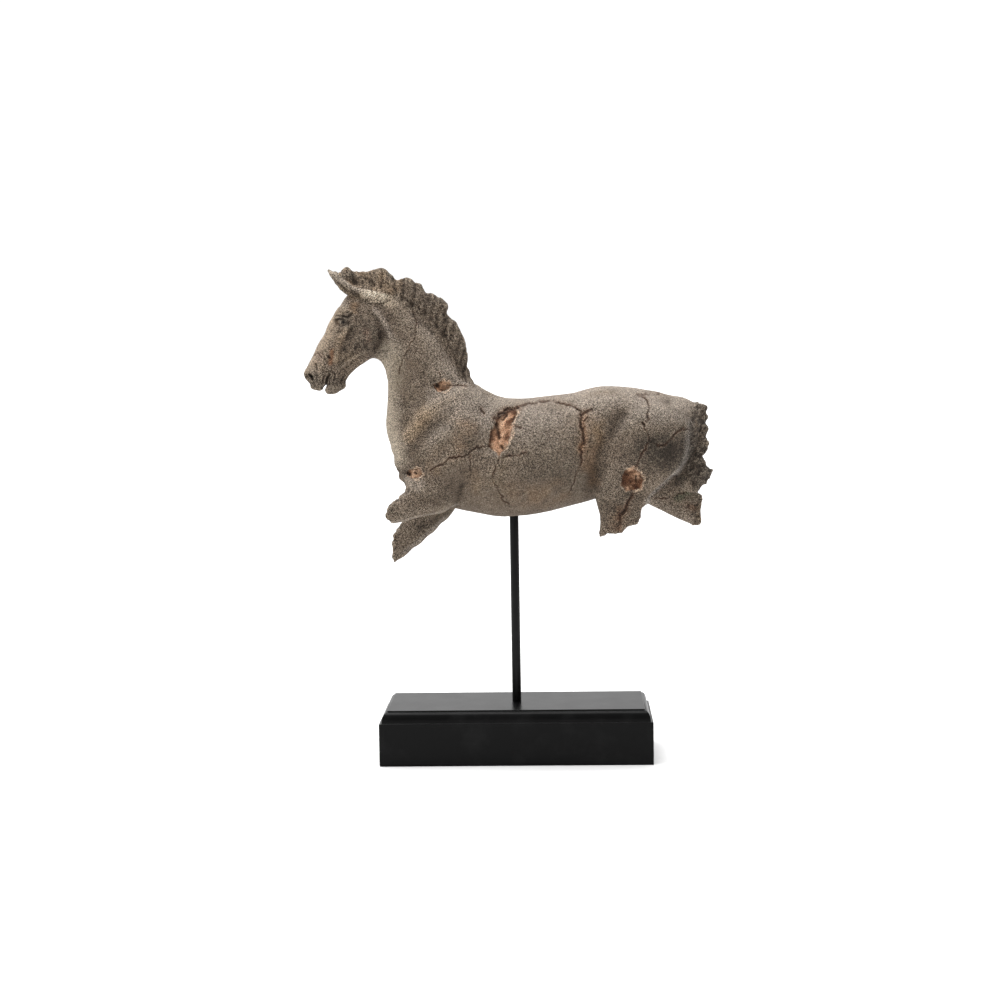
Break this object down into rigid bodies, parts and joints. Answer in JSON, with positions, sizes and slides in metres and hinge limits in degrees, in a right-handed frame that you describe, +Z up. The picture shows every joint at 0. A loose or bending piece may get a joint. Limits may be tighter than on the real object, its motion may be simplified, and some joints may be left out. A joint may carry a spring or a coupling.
{
  "type": "horse sculpture",
  "caption": "Weathered torso of a standing horse with broken legs, carried by an upright rod on an oblong moulded plinth.",
  "frame": {"origin": "centre of the plinth's underside", "axes": "+Z up along the rod; the horse faces -X, with its left flank towards -Y"},
  "size_m": [0.3625, 0.09, 0.4397],
  "materials": {
    "horse": "cast resin, gritty and weathered, grey-brown with orange-brown knots and dark cracks",
    "rod": "satin black paint",
    "plinth": "satin black lacquer"
  },
  "bodies": {
    "root": {"horse": "horse", "rod": "rod", "plinth": "plinth"}
  },
  "joints": []
}
